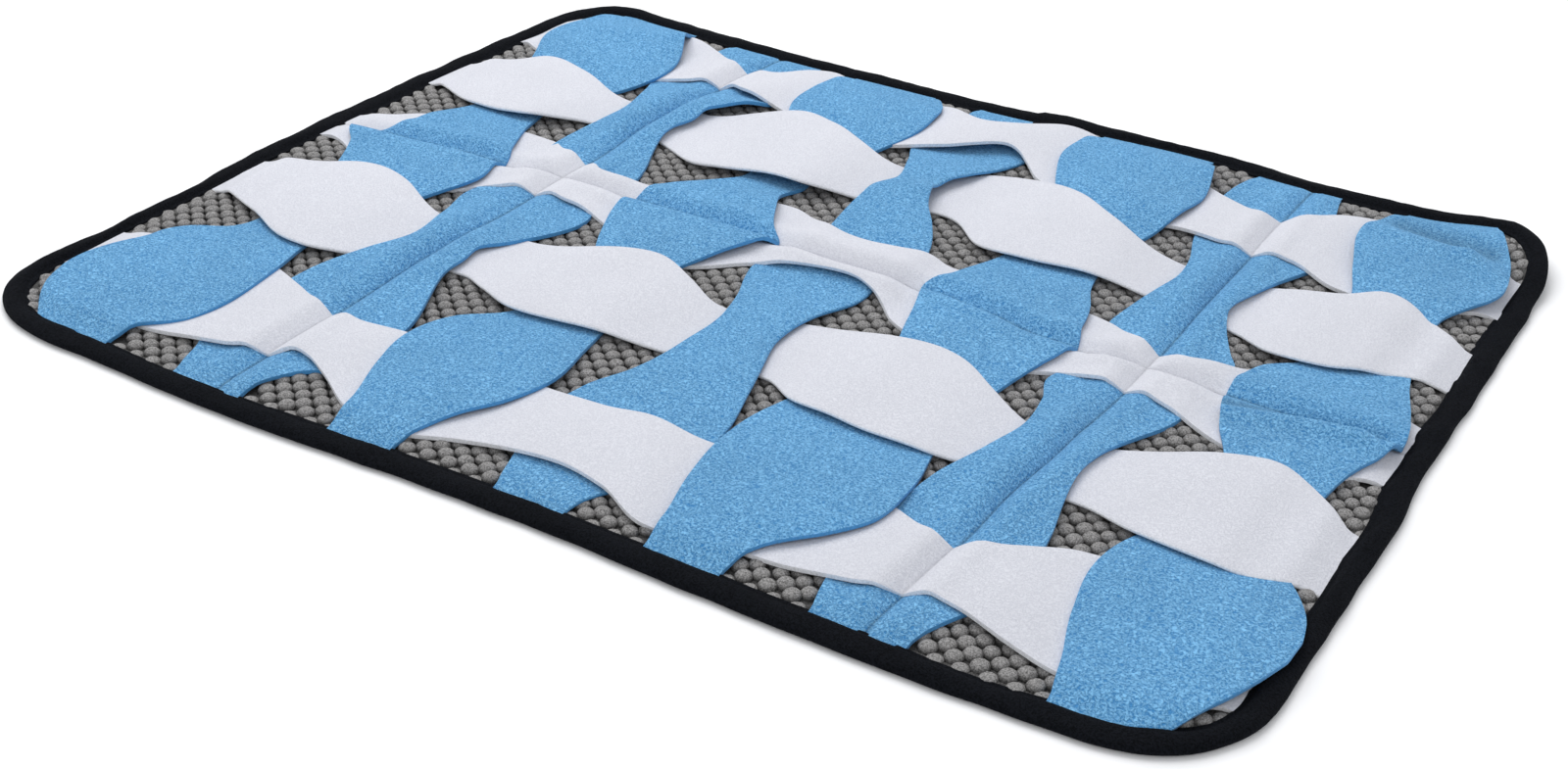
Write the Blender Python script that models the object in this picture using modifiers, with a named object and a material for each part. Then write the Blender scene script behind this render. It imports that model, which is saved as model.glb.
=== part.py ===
"""Snuffle mat: blue and white wave-cut fleece strips woven over a bound base of bobble plush."""

from collections import namedtuple
from math import cos, exp, hypot, pi, radians, sin

import bmesh
import bpy
from mathutils import Vector

MM = 0.001

# Mat, in millimetres like every size below
LENGTH = 700.0
WIDTH = 550.0
CORNER_RADIUS = 63.0
LEAST_CORNER_RADIUS = 12.0
CORNER_STEPS = 6
LONG_SIDE_STEPS = 16
SHORT_SIDE_STEPS = 12

# Base cloth: full thickness inside the binding, pressed thin where the binding grips it
PLUSH_THICKNESS = 5.0
GRIPPED_THICKNESS = 1.8
GRIP_DEPTH = 17.2
GRIP_SLOPE = 0.6
BASE_INSET = 1.6
BASE_RING_INSETS = (34.0, 55.0, 80.0, 115.0)
MID_HEIGHT = PLUSH_THICKNESS / 2

# Binding: one band folded over the edge
BINDING_REACH = 16.8
BINDING_CLOTH = 1.25
BINDING_ROUNDING = 1.2
BINDING_INNER_DROP = 0.4
LAP_START = 14.0
LAP_FADE = 80.0
LAP_STEP = 4.5

# Strips
STRIP_THICKNESS = 2.2
STRIP_END_INSET = 17.9
CELLS_ACROSS = 4
BLUE_CELLS = 36
WHITE_CELLS = 46
LOW = 6.7
SEWN_HIGH = 8.5

# A section of a strip: where it is along the strip, its two cut edges, and the height of its middle.
# Blue strips run along Y, with edges at low and high X. White strips run along X, with edges at low and high Y.
Section = namedtuple("Section", "along low_edge high_edge height")

BLUE_SECTIONS = {
    1: (
        Section(-257, -302, -251, LOW),
        Section(-244, -311, -250, 10.5),
        Section(-198, -323, -224, 13.0),
        Section(-80, -287, -241, LOW),
        Section(12, -311, -213, 14.0),
        Section(118, -287, -241, LOW),
        Section(208, -312, -213, 15.0),
        Section(246, -304, -226, 13.0),
        Section(257, -300, -237, LOW),
    ),
    2: (
        Section(-257, -208, -159, LOW),
        Section(-203, -222, -133, LOW),
        Section(-86, -197, -161, 12.5),
        Section(13, -214, -131, LOW),
        Section(125, -200, -163, 14.0),
        Section(207, -213, -134, LOW),
        Section(257, -208, -140, LOW),
    ),
    3: (
        Section(-257, -106, -66, SEWN_HIGH),
        Section(-246, -109, -64, 10.5),
        Section(-207, -124, -38, 13.0),
        Section(-82, -101, -53, LOW),
        Section(14, -123, -33, 14.5),
        Section(127, -98, -57, LOW),
        Section(212, -124, -33, 14.0),
        Section(249, -113, -50, 12.0),
        Section(257, -112, -56, SEWN_HIGH),
    ),
    4: (
        Section(-257, -10, 31, LOW),
        Section(-207, -31, 55, LOW),
        Section(-84, -6, 32, 12.5),
        Section(15, -28, 48, LOW),
        Section(124, -15, 31, 16.0),
        Section(213, -28, 44, LOW),
        Section(257, -24, 12, LOW),
    ),
    5: (
        Section(-257, 72, 114, SEWN_HIGH),
        Section(-247, 71, 118, 10.5),
        Section(-210, 59, 157, 13.5),
        Section(-88, 73, 139, LOW),
        Section(8, 69, 163, 14.7),
        Section(121, 85, 135, LOW),
        Section(208, 57, 149, 14.0),
        Section(249, 60, 134, 12.0),
        Section(257, 62, 130, SEWN_HIGH),
    ),
    6: (
        Section(-257, 160, 207, LOW),
        Section(-208, 152, 228, LOW),
        Section(-102, 172, 211, 12.5),
        Section(-2, 158, 232, LOW),
        Section(97, 176, 212, 12.5),
        Section(190, 156, 230, LOW),
        Section(257, 163, 223, LOW),
    ),
    7: (
        Section(-257, 268, 320, SEWN_HIGH),
        Section(-246, 265, 324, 10.5),
        Section(-200, 249, 345, 13.0),
        Section(-100, 264, 310, LOW),
        Section(-1, 242, 332, 13.0),
        Section(98, 262, 311, LOW),
        Section(187, 242, 333, 14.0),
        Section(244, 250, 314, 12.0),
        Section(257, 253, 310, SEWN_HIGH),
    ),
}

WHITE_SECTIONS = {
    1: (
        Section(-332, -207, -164, LOW),
        Section(-273, -242, -150, LOW),
        Section(-178, -229, -179, 12.5),
        Section(-80, -250, -162, LOW),
        Section(12, -234, -176, 12.5),
        Section(108, -248, -166, LOW),
        Section(190, -237, -187, 12.5),
        Section(297, -247, -156, LOW),
        Section(332, -232, -180, LOW),
    ),
    2: (
        Section(-332, -98, -50, LOW),
        Section(-320, -102, -45, 10.5),
        Section(-264, -128, -31, 14.0),
        Section(-179, -112, -56, LOW),
        Section(-77, -128, -34, 14.0),
        Section(13, -110, -54, LOW),
        Section(108, -131, -39, 14.5),
        Section(191, -124, -76, LOW),
        Section(287, -145, -49, 13.5),
        Section(322, -134, -66, 13.0),
        Section(332, -129, -75, SEWN_HIGH),
    ),
    3: (
        Section(-332, -10, 40, LOW),
        Section(-262, -34, 62, LOW),
        Section(-172, -13, 41, 13.5),
        Section(-78, -34, 62, LOW),
        Section(10, -7, 39, 19.0),
        Section(116, -38, 50, LOW),
        Section(195, -28, 19, 13.0),
        Section(287, -44, 42, LOW),
        Section(332, -29, 33, LOW),
    ),
    4: (
        Section(-332, 95, 148, LOW),
        Section(-320, 90, 152, 10.5),
        Section(-264, 73, 163, 14.0),
        Section(-180, 104, 146, LOW),
        Section(-78, 76, 181, 14.5),
        Section(4, 102, 152, LOW),
        Section(110, 71, 171, 15.0),
        Section(194, 76, 124, LOW),
        Section(287, 49, 149, 14.3),
        Section(322, 68, 130, 12.5),
        Section(332, 74, 122, SEWN_HIGH),
    ),
    5: (
        Section(-332, 188, 232, LOW),
        Section(-262, 165, 250, LOW),
        Section(-174, 186, 228, 13.0),
        Section(-78, 170, 254, LOW),
        Section(7, 195, 232, 19.0),
        Section(103, 168, 250, LOW),
        Section(193, 150, 207, 12.5),
        Section(288, 150, 243, 7.0),
        Section(332, 169, 211, 7.0),
    ),
}

# A drawn edge: the place along the strip, which edge (-1 low, 1 high), how far it rises there,
# how far it is drawn in towards the strip's middle, and the length that it fades over
Draw = namedtuple("Draw", "along side rise inwards reach")

BLUE_DRAWS = {
    1: (Draw(226, 1, 15.0, 0.0, 30.0),),
    2: (
        Draw(-80, 1, 1.0, 4.0, 14.0),
        Draw(142, 1, 3.0, 9.0, 14.0),
        Draw(168, 1, 7.0, 0.0, 18.0),
    ),
    3: (
        Draw(6, 1, 3.2, 0.0, 48.0),
        Draw(58, 1, 4.0, 0.0, 18.0),
        Draw(212, 1, 4.0, 0.0, 42.0),
    ),
    4: (Draw(132, 1, 9.0, 9.0, 16.0),),
    5: (
        Draw(-185, 1, 1.2, 0.0, 45.0),
        Draw(5, -1, 2.4, 0.0, 24.0),
        Draw(176, 1, 3.5, 0.0, 26.0),
        Draw(214, -1, 1.5, 0.0, 36.0),
        Draw(236, 1, 6.0, 0.0, 20.0),
        Draw(246, -1, 1.5, 0.0, 24.0),
    ),
    7: (
        Draw(0, 1, 4.0, 3.0, 16.0),
        Draw(190, -1, 4.0, 0.0, 30.0),
    ),
}
WHITE_DRAWS = {
    1: (Draw(190, 1, 2.5, 0.0, 25.0),),
    3: (Draw(12, -1, 4.0, 0.0, 30.0),),
    4: (
        Draw(-285, 1, 1.5, 0.0, 40.0),
        Draw(-240, -1, 3.0, 0.0, 30.0),
        Draw(-65, 1, 2.0, 0.0, 50.0),
        Draw(-60, -1, 5.0, 0.0, 40.0),
        Draw(125, 1, 1.5, 0.0, 40.0),
    ),
    5: (
        Draw(-150, -1, 4.0, 0.0, 25.0),
        Draw(14, -1, 6.0, 0.0, 24.0),
    ),
}

# The edges as they lie: place along the edge and how far it bows outwards
Bow = namedtuple("Bow", "along out")

FRONT_BOW = (Bow(-300, -3.0), Bow(-160, 1.0), Bow(-10, -3.0), Bow(200, 1.5), Bow(300, -1.0))
BACK_BOW = (Bow(-300, 6.0), Bow(-150, 0.0), Bow(0, 1.0), Bow(110, 9.0), Bow(205, 5.0), Bow(300, 8.0))
LEFT_BOW = (Bow(-200, 0.0), Bow(-30, 3.0), Bow(90, -1.0), Bow(180, -6.0), Bow(250, -12.0))
RIGHT_BOW = (Bow(-200, -2.0), Bow(-60, -2.0), Bow(10, -4.0), Bow(100, -2.0), Bow(220, -3.0))
BOW_REACH = 70.0

# Middle of the outline as it lies, which is the part's origin
MIDDLE_X = -2.5
MIDDLE_Y = 3.8

# The back right corner stands a little off the floor
RAISED_CORNER = (350.0, 275.0)
CORNER_LIFT = 8.0
CORNER_LIFT_REACH = 130.0

Cloth = namedtuple("Cloth", "name colour roughness")

GREY_PLUSH = Cloth("Grey bobble plush", (0.24, 0.23, 0.22), 0.95)
BLACK_FLEECE = Cloth("Black fleece", (0.012, 0.013, 0.016), 0.9)
BLUE_FLEECE = Cloth("Blue fleece", (0.13, 0.38, 0.72), 0.95)
WHITE_FLEECE = Cloth("White fleece", (0.78, 0.79, 0.86), 0.9)


def cut_blend(share):
    """0 to 1 along a wave cut between two sections."""
    return (1 - cos(pi * share)) / 2


def bend_blend(share):
    """0 to 1 along a strip that stays level over a neighbour and drops between neighbours."""
    return (8 - 9 * cos(pi * share) + cos(3 * pi * share)) / 16


def bump(distance, reach):
    return exp(-2 * (distance / reach) ** 2)


def bow_at(bows, along):
    if along <= bows[0].along:
        return bows[0].out
    for here, after in zip(bows, bows[1:]):
        if along <= after.along:
            share = cut_blend((along - here.along) / (after.along - here.along))
            return here.out + share * (after.out - here.out)
    return bows[-1].out


def edge_weight(inset):
    """1 at the mat's edge, falling to 0 at BOW_REACH inside it."""
    share = min(max(inset / BOW_REACH, 0.0), 1.0)
    return cut_blend(1 - share)


def laid(x, y, z):
    """A point of the evenly cut mat, in metres, where it is once the mat lies with its uneven edges."""
    right = edge_weight(LENGTH / 2 - x) * bow_at(RIGHT_BOW, y)
    left = edge_weight(LENGTH / 2 + x) * bow_at(LEFT_BOW, y)
    back = edge_weight(WIDTH / 2 - y) * bow_at(BACK_BOW, x)
    front = edge_weight(WIDTH / 2 + y) * bow_at(FRONT_BOW, x)
    to_corner = hypot(x - RAISED_CORNER[0], y - RAISED_CORNER[1])
    rise = CORNER_LIFT * cut_blend(1 - min(to_corner / CORNER_LIFT_REACH, 1.0))
    return Vector((x + right - left - MIDDLE_X, y + back - front - MIDDLE_Y, z + rise)) * MM


def ring(inset):
    """The mat's rounded outline moved inwards, anticlockwise from the right side's back end."""
    radius = max(CORNER_RADIUS - inset, LEAST_CORNER_RADIUS)
    middle_x = LENGTH / 2 - inset - radius
    middle_y = WIDTH / 2 - inset - radius
    corners = ((1, 1), (-1, 1), (-1, -1), (1, -1))
    runs = (LONG_SIDE_STEPS, SHORT_SIDE_STEPS, LONG_SIDE_STEPS, SHORT_SIDE_STEPS)
    points = []
    for number, (side_x, side_y) in enumerate(corners):
        for step in range(CORNER_STEPS + 1):
            angle = radians(90) * (number + step / CORNER_STEPS)
            points.append(
                Vector((side_x * middle_x + radius * cos(angle), side_y * middle_y + radius * sin(angle)))
            )
        next_x, next_y = corners[(number + 1) % 4]
        angle = radians(90) * (number + 1)
        run_end = Vector((next_x * middle_x + radius * cos(angle), next_y * middle_y + radius * sin(angle)))
        run_start = points[-1]
        for step in range(1, runs[number]):
            points.append(run_start.lerp(run_end, step / runs[number]))
    return points


def loft(name, rings, joined_round):
    """One closed body through rings of the same number of points: a closed tube, or one with two flat ends."""
    bm = bmesh.new()
    loops = [[bm.verts.new(point) for point in points] for points in rings]
    if joined_round:
        pairs = list(zip(loops, loops[1:] + loops[:1]))
    else:
        pairs = list(zip(loops, loops[1:]))
        bm.faces.new(loops[0])
        bm.faces.new(loops[-1])
    for lower, upper in pairs:
        for first in range(len(lower)):
            second = (first + 1) % len(lower)
            bm.faces.new((lower[first], lower[second], upper[second], upper[first]))
    bmesh.ops.recalc_face_normals(bm, faces=bm.faces)
    mesh = bpy.data.meshes.new(name)
    bm.to_mesh(mesh)
    bm.free()
    return mesh


def base_mesh():
    """Rings from the middle of the underside, round the gripped edge, to the middle of the top."""
    half_grip = GRIPPED_THICKNESS / 2
    profile = [(inset, -MID_HEIGHT) for inset in reversed(BASE_RING_INSETS)]
    profile.append((GRIP_DEPTH + GRIP_SLOPE, -MID_HEIGHT))
    profile.append((GRIP_DEPTH, -half_grip))
    profile.append((BASE_INSET, -half_grip))
    profile += [(inset, -offset) for inset, offset in reversed(profile)]
    rings = [[laid(p.x, p.y, MID_HEIGHT + offset) for p in ring(inset)] for inset, offset in profile]
    return loft("base_cloth", rings, joined_round=False)


def lap(x, y):
    """How far the upper end of the band stands out where it is lapped over the other, on the back edge."""
    if y < WIDTH / 2 - 2 * BINDING_REACH or x < LAP_START:
        return 0.0
    return LAP_STEP * cut_blend(1 - min((x - LAP_START) / LAP_FADE, 1.0))


def binding_mesh():
    """A C-shaped section with a rounded back, carried round the outline and open towards the mat's middle."""
    inner_height = MID_HEIGHT - BINDING_CLOTH
    upper_half = (
        (BINDING_CLOTH, inner_height),
        (BINDING_REACH, inner_height),
        (BINDING_REACH, MID_HEIGHT - BINDING_INNER_DROP),
        (BINDING_REACH - BINDING_ROUNDING, MID_HEIGHT),
        (BINDING_ROUNDING, MID_HEIGHT),
        (BINDING_ROUNDING * (1 - cos(pi / 4)), MID_HEIGHT * sin(pi / 4)),
    )
    lower_half = [(inset, -offset) for inset, offset in reversed(upper_half)]
    rings = []
    for inset, offset in [*upper_half, (0.0, 0.0), *lower_half]:
        outer_share = 1 - min(inset / BINDING_REACH, 1.0)
        points = []
        for p in ring(inset):
            stand_out = lap(p.x, p.y) * outer_share
            points.append(laid(p.x, p.y + stand_out, MID_HEIGHT + offset))
        rings.append(points)
    return loft("binding", rings, joined_round=True)


def section_at(sections, along):
    """Both edges and the middle height of a strip at one place along it."""
    along = min(max(along, sections[0].along), sections[-1].along)
    for here, after in zip(sections, sections[1:]):
        if along <= after.along:
            break
    share = (along - here.along) / (after.along - here.along)
    cut = cut_blend(share)
    low_edge = here.low_edge + cut * (after.low_edge - here.low_edge)
    high_edge = here.high_edge + cut * (after.high_edge - here.high_edge)
    height = here.height + bend_blend(share) * (after.height - here.height)
    return low_edge, high_edge, height


def drawn(draws, along, across):
    """How far the drawn edges lift a point and move it sideways. across is -1 at the low edge, 1 at the high."""
    rise = 0.0
    sideways = 0.0
    for draw in draws:
        towards_edge = (1 + draw.side * across) / 2
        share = towards_edge**2 * bump(along - draw.along, draw.reach)
        rise += draw.rise * share
        sideways -= draw.side * draw.inwards * share
    return rise, sideways


def reach_at(half_along, half_across, across):
    """Distance from the mat's middle to the inner side of the binding, at a distance across the strip's run."""
    radius = CORNER_RADIUS - STRIP_END_INSET
    past_corner = abs(across) - (half_across - STRIP_END_INSET - radius)
    reach = half_along - STRIP_END_INSET
    if past_corner > 0:
        reach -= radius - (radius**2 - min(past_corner, radius) ** 2) ** 0.5
    return reach


def strip_point(sections, draws, half_along, half_across, share, across):
    """Place along, place across and height of a point, with share and across from -1 to 1."""
    along = share * (half_along - STRIP_END_INSET)
    low_edge, high_edge, height = section_at(sections, along)
    rise, inwards = drawn(draws, along, across)
    sideways = (low_edge + high_edge) / 2 + across * (high_edge - low_edge) / 2 + inwards
    along = share * reach_at(half_along, half_across, sideways)
    return along, sideways, height + rise


def strip(name, cells_x, cells_y, place):
    """A sheet of even thickness whose grid points place() puts at X, Y and a height."""
    bm = bmesh.new()
    bmesh.ops.create_grid(bm, x_segments=cells_x, y_segments=cells_y, size=1.0)
    for vert in bm.verts:
        vert.co = laid(*place(vert.co.x, vert.co.y))
    mesh = bpy.data.meshes.new(name)
    bm.to_mesh(mesh)
    bm.free()
    obj = bpy.data.objects.new(name, mesh)
    solidify = obj.modifiers.new("Cloth thickness", "SOLIDIFY")
    solidify.thickness = STRIP_THICKNESS * MM
    solidify.offset = 0.0
    return obj


def blue_strip(number):
    sections = BLUE_SECTIONS[number]
    draws = BLUE_DRAWS.get(number, ())

    def place(grid_x, grid_y):
        along, sideways, height = strip_point(sections, draws, WIDTH / 2, LENGTH / 2, grid_y, grid_x)
        return sideways, along, height

    return strip(f"blue_strip_{number}", CELLS_ACROSS, BLUE_CELLS, place)


def white_strip(number):
    sections = WHITE_SECTIONS[number]
    draws = WHITE_DRAWS.get(number, ())

    def place(grid_x, grid_y):
        return strip_point(sections, draws, LENGTH / 2, WIDTH / 2, grid_x, grid_y)

    return strip(f"white_strip_{number}", WHITE_CELLS, CELLS_ACROSS, place)


def material(cloth):
    made = bpy.data.materials.new(cloth.name)
    made.use_nodes = True
    shader = made.node_tree.nodes["Principled BSDF"]
    shader.inputs["Base Color"].default_value = (*cloth.colour, 1.0)
    shader.inputs["Roughness"].default_value = cloth.roughness
    shader.inputs["Metallic"].default_value = 0.0
    return made


def add(collection, obj, made_of):
    obj.data.materials.append(made_of)
    obj.data.shade_smooth()
    collection.objects.link(obj)


def main():
    for obj in list(bpy.data.objects):
        bpy.data.objects.remove(obj)
    collection = bpy.data.collections.new("Snuffle mat")
    bpy.context.scene.collection.children.link(collection)
    grey_plush = material(GREY_PLUSH)
    black_fleece = material(BLACK_FLEECE)
    blue_fleece = material(BLUE_FLEECE)
    white_fleece = material(WHITE_FLEECE)
    add(collection, bpy.data.objects.new("base_cloth", base_mesh()), grey_plush)
    add(collection, bpy.data.objects.new("binding", binding_mesh()), black_fleece)
    for number in BLUE_SECTIONS:
        add(collection, blue_strip(number), blue_fleece)
    for number in WHITE_SECTIONS:
        add(collection, white_strip(number), white_fleece)


main()
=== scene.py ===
import math

import bmesh
import bpy
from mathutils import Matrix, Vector, noise


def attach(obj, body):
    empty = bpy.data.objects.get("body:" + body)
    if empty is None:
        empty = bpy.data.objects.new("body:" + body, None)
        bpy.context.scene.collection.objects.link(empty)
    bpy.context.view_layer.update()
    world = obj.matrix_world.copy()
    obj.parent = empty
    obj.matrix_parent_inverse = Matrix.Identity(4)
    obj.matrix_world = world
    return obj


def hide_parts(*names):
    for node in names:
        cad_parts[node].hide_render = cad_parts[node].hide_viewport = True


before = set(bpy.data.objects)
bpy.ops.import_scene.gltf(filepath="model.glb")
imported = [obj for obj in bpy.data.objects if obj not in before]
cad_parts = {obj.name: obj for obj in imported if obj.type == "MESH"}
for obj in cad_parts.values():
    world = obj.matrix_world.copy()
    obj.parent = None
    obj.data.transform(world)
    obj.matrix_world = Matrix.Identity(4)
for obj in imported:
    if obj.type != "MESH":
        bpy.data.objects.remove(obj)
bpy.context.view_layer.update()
bpy.ops.object.select_all(action="DESELECT")

mm = 0.001

# the evenly cut mat in mm, then how its edges lie: (place along the edge, how far it bows out)
mat = {
    "halfLength": 350,
    "halfWidth": 275,
    "cornerRadius": 63,
    "leastRadius": 12,
    "middle": (-2.5, 3.8),
    "frontBow": ((-300, -3), (-160, 1), (-10, -3), (200, 1.5), (300, -1)),
    "backBow": ((-300, 8), (-150, 2), (-5, 3), (50, 9), (110, 11), (205, 7), (300, 8)),
    "leftBow": ((-200, 0), (-110, -1), (-30, 3), (90, 0), (180, -5), (215, -10), (262, -8)),
    "rightBow": ((-200, -1), (-70, -1), (10, -4), (100, -3.5), (220, -4.5)),
    "bowReach": 70,
    # x, y, how high it is raised, how far that reaches
    "raisedCorners": ((350, 275, 11, 95), (-350, 275, 4, 90)),
    # x, y, how far it is drawn out in x and y, how far that reaches
    "drawnCorners": ((-350, -262, -3.5, 1, 75), (350, 275, 0.5, 0.5, 60)),
    # x, y, how much narrower the binding is, how far that reaches
    "narrowBinding": ((-350, -130, 5.5, 170), (-330, -262, 4, 90), (-200, -275, 2.5, 90),
                      (350, -130, 5, 75), (350, -70, 5, 60), (350, 0, 4, 45), (350, 60, 4, 50),
                      (345, 262, 6, 130), (110, 275, 5, 110), (345, -243, 5, 50), (235, -275, 3, 55)),
}

# the lines that the strips are sewn down on: left and right run across the mat, as (y, x),
# and the other one along it, as (x, y)
seams = {
    "left": ((-275, -176), (-150, -177), (0, -178), (100, -178), (180, -175), (275, -170)),
    "right": ((-275, 185), (-150, 191), (-80, 195), (0, 198), (100, 198), (200, 196), (275, 196)),
    "along": ((-350, 17), (-290, 18), (-230, 22), (-180, 26), (-130, 26), (-39, 25), (10, 20),
              (75, 20), (100, 16), (140, 8), (195, 9), (285, 5), (350, 5)),
}

# the layers of noise that keep one unevenness apart from another
layers = {
    "bobbleX": 0.27,
    "bobbleY": 6.57,
    "bobbleSize": 2.17,
    "bobbleLean": 4.85,
    "lowEdge": 1.7,
    "highEdge": 5.9,
    "blueRipple": 4.3,
    "whiteRipple": 0.7,
    "bandPucker": 4,
    "bandSlack": 8.3,
}


def uneven(x, y, layer):
    # smooth noise, from about -1 to 1
    return noise.noise(Vector((x, y, layer)))


def smoothStep(share):
    return (1 - math.cos(math.pi * min(max(share, 0), 1))) / 2


def bendBlend(share):
    # level over a neighbour, and steep between neighbours
    return (8 - 9 * math.cos(math.pi * share) + math.cos(3 * math.pi * share)) / 16


def valueAt(rows, along):
    # smooth value between rows of (along, value)
    if along <= rows[0][0]:
        return rows[0][1]
    for here, after in zip(rows, rows[1:]):
        if along <= after[0]:
            share = (along - here[0]) / (after[0] - here[0])
            return here[1] + smoothStep(share) * (after[1] - here[1])
    return rows[-1][1]


def laid(x, y, z):
    # a point of the evenly cut mat, in mm, where it lies, in metres
    def nearEdge(inset):
        return smoothStep(1 - inset / mat["bowReach"])

    right = nearEdge(mat["halfLength"] - x) * valueAt(mat["rightBow"], y)
    left = nearEdge(mat["halfLength"] + x) * valueAt(mat["leftBow"], y)
    back = nearEdge(mat["halfWidth"] - y) * valueAt(mat["backBow"], x)
    front = nearEdge(mat["halfWidth"] + y) * valueAt(mat["frontBow"], x)
    rise = sum(lift * smoothStep(1 - math.hypot(x - cornerX, y - cornerY) / reach)
               for cornerX, cornerY, lift, reach in mat["raisedCorners"])
    for cornerX, cornerY, outX, outY, reach in mat["drawnCorners"]:
        drawn = smoothStep(1 - math.hypot(x - cornerX, y - cornerY) / reach)
        right += outX * drawn
        back += outY * drawn
    middleX, middleY = mat["middle"]
    return Vector((x + right - left - middleX, y + back - front - middleY, z + rise)) * mm


def narrowerAt(x, y):
    return max(less * smoothStep(1 - math.hypot(x - atX, y - atY) / reach)
               for atX, atY, less, reach in mat["narrowBinding"])


def outline(inset, step):
    # the rounded outline moved inwards, anticlockwise, with points about a step apart
    radius = max(mat["cornerRadius"] - inset, mat["leastRadius"])
    middleX = mat["halfLength"] - inset - radius
    middleY = mat["halfWidth"] - inset - radius
    corners = ((1, 1), (-1, 1), (-1, -1), (1, -1))
    longSteps = round(2 * (mat["halfLength"] - mat["cornerRadius"]) / step)
    shortSteps = round(2 * (mat["halfWidth"] - mat["cornerRadius"]) / step)
    cornerSteps = round(math.pi / 2 * mat["cornerRadius"] / step)
    points = []
    for number, (sideX, sideY) in enumerate(corners):
        for corner in range(cornerSteps + 1):
            angle = math.pi / 2 * (number + corner / cornerSteps)
            outX, outY = radius * math.cos(angle), radius * math.sin(angle)
            points.append((sideX * middleX + outX, sideY * middleY + outY))
        nextX, nextY = corners[(number + 1) % 4]
        endX, endY = nextX * middleX + outX, nextY * middleY + outY
        startX, startY = points[-1]
        steps = (longSteps, shortSteps)[number % 2]
        for place in range(1, steps):
            share = place / steps
            points.append((startX + share * (endX - startX), startY + share * (endY - startY)))
    return points


def loft(name, rings, closedTube):
    # a skin over rings of points: a tube joined end to end, or a body with a flat face at each end
    bm = bmesh.new()
    loops = [[bm.verts.new(point) for point in ring] for ring in rings]
    pairs = list(zip(loops, loops[1:]))
    if closedTube:
        pairs.append((loops[-1], loops[0]))
    else:
        bm.faces.new(loops[0])
        bm.faces.new(loops[-1])
    for lower, upper in pairs:
        for first in range(len(lower)):
            second = (first + 1) % len(lower)
            bm.faces.new((lower[first], lower[second], upper[second], upper[first]))
    bmesh.ops.recalc_face_normals(bm, faces=bm.faces)
    mesh = bpy.data.meshes.new(name)
    bm.to_mesh(mesh)
    bm.free()
    piece = bpy.data.objects.new(name, mesh)
    bpy.context.collection.objects.link(piece)
    return piece


def finishPiece(piece, node, slot, *materials):
    for material in materials:
        piece.data.materials.append(material)
    piece.data.shade_smooth()
    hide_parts(node)
    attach(piece, "root")


def addNode(tree, kind, **values):
    node = tree.nodes.new(kind)
    for name, value in values.items():
        if name in node.inputs:
            node.inputs[name].default_value = value
        else:
            setattr(node, name, value)
    return node


def addRange(tree, value, fromRange, toRange=(0, 1), **values):
    # a value spread from one range to another
    spread = addNode(tree, "ShaderNodeMapRange", **values)
    for name, end in zip(("From Min", "From Max", "To Min", "To Max"), (*fromRange, *toRange)):
        spread.inputs[name].default_value = end
    tree.links.new(value, spread.inputs["Value"])
    return spread.outputs["Result"]


def addColours(tree, dark, light, share):
    colours = addNode(tree, "ShaderNodeMix", data_type="RGBA")
    colours.inputs["A"].default_value = (*dark, 1)
    colours.inputs["B"].default_value = (*light, 1)
    tree.links.new(share, colours.inputs["Factor"])
    return colours.outputs["Result"]


def addBump(tree, height, strength, depth):
    bump = addNode(tree, "ShaderNodeBump", Strength=strength, Distance=depth * mm)
    tree.links.new(height, bump.inputs["Height"])
    tree.links.new(bump.outputs[0], tree.nodes["Principled BSDF"].inputs["Normal"])


def scaleColour(tree, colour, scale):
    # the base colour, darker where the scale is low
    scaled = addNode(tree, "ShaderNodeVectorMath", operation="SCALE")
    tree.links.new(colour, scaled.inputs[0])
    tree.links.new(scale, scaled.inputs["Scale"])
    tree.links.new(scaled.outputs[0], tree.nodes["Principled BSDF"].inputs["Base Color"])


def clothMaterial(name, look):
    # a matt material, its tree, and the place that its patterns are read at
    material = bpy.data.materials.new(name)
    material.use_nodes = True
    shader = material.node_tree.nodes["Principled BSDF"]
    shader.inputs["Roughness"].default_value = look["roughness"]
    shader.inputs["Specular IOR Level"].default_value = look["specular"]
    place = addNode(material.node_tree, "ShaderNodeTexCoord").outputs["Object"]
    return material, material.node_tree, place


# Fleece: painted highlight on the curls' tips and painted shade in the pits between them, with curls so many
# mm across and high

blueFleece = {
    "light": (0.232, 0.545, 0.865),
    "dark": (0.052, 0.232, 0.510),
    "curl": 2.0,
    "pits": 0.30,
    "tops": 0.68,
    "curlHeight": 1.3,
    "patchiness": 0.05,
    "seamShade": 0.5,
    "sheen": 0.2,
    "sheenTint": (0.65, 0.85, 1.0),
}

whiteFleece = {
    "light": (0.690, 0.698, 0.750),
    "dark": (0.605, 0.612, 0.670),
    "curl": 1.5,
    "pits": 0.33,
    "tops": 0.60,
    "curlHeight": 0.25,
    "patchiness": 0.02,
    "seamShade": 0.22,
    "sheen": 0.12,
    "sheenTint": (1.0, 1.0, 1.0),
}

blackFleece = {
    "light": (0.0060, 0.0070, 0.0100),
    "dark": (0.0015, 0.0020, 0.0030),
    "curl": 1.6,
    "pits": 0.33,
    "tops": 0.62,
    "curlHeight": 0.7,
    "patchiness": 0.15,
    "seamShade": 0.3,
    "sheen": 0.008,
    "sheenTint": (0.6, 0.7, 1.0),
}

# what the three fleeces share
pileLook = {
    "bendDetail": 1.0,
    "bendBy": 1.4,
    "curlsPerBend": 1.7,
    "curlDetail": 1.6,
    "curlRoughness": 0.62,
    "patchScale": 18.0,
    "patchDetail": 3.0,
    "patchRange": (0.3, 0.7),
    "bump": 0.7,
    "roughness": 0.95,
    "specular": 0.08,
    "sheenRoughness": 0.45,
}


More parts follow.
